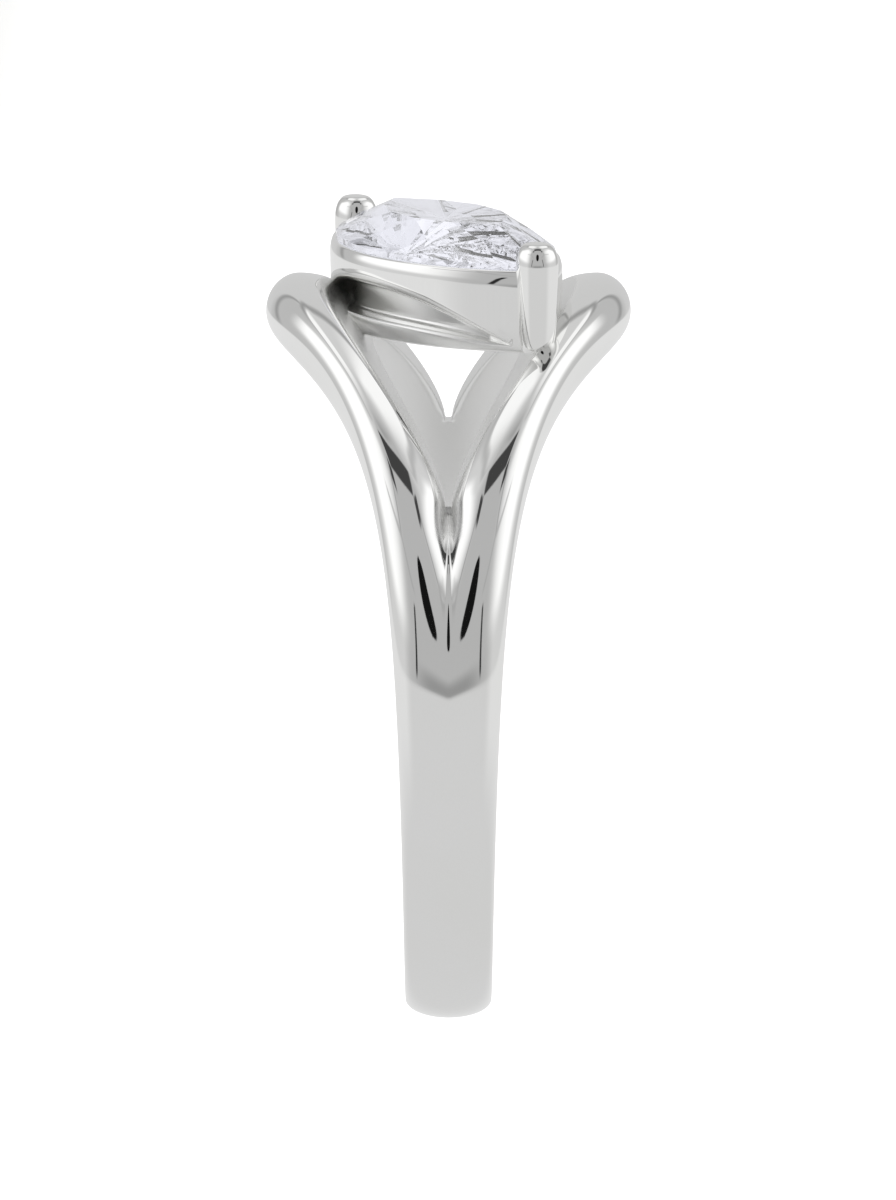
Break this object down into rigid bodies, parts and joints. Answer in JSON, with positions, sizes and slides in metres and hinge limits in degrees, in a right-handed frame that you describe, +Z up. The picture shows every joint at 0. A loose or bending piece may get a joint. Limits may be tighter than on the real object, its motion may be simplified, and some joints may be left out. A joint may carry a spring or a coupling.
{
  "type": "solitaire engagement ring",
  "caption": "Polished split-shank ring lying on its side, forked arms carrying a pointed oval setting with a faceted stone set across the finger.",
  "frame": {"origin": "on the surface that the ring rests on, under the middle of its bounding box", "axes": "+Z up from the surface; +X level, from the foot of the shank towards the head; the finger's axis leans about 11 degrees from +Z towards -X"},
  "size_m": [0.0228, 0.021, 0.0101],
  "materials": {
    "white_gold": "mirror polished",
    "clear_stone": "faceted and polished"
  },
  "bodies": {
    "root": {"band_with_setting": "white_gold", "marquise_stone": "clear_stone"}
  },
  "joints": []
}
